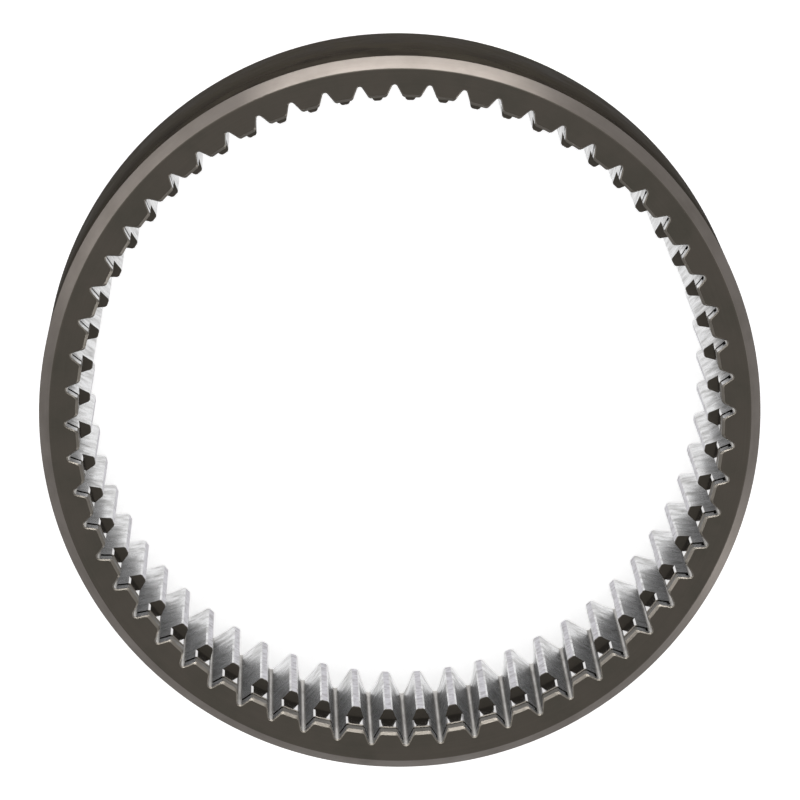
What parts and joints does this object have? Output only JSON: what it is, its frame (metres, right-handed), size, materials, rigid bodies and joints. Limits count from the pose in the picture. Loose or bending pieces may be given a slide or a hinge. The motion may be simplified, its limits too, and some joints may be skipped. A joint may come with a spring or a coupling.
{
  "type": "internal ring gear",
  "caption": "Steel ring gear with straight internal teeth, turned back at the front end as a hub seat with a retaining ring groove.",
  "frame": {"origin": "centre of the back face, on the gear's axis", "axes": "+Z along the gear's axis from the back face to the front face, which has the hub seat; +X through the middle of a tooth space"},
  "size_m": [0.4049, 0.405, 0.138],
  "materials": {
    "gear_steel": "dark hardened turned faces and outside, bright shaped tooth flanks and hub seat"
  },
  "bodies": {
    "root": {"ring_gear": "gear_steel"}
  },
  "joints": []
}
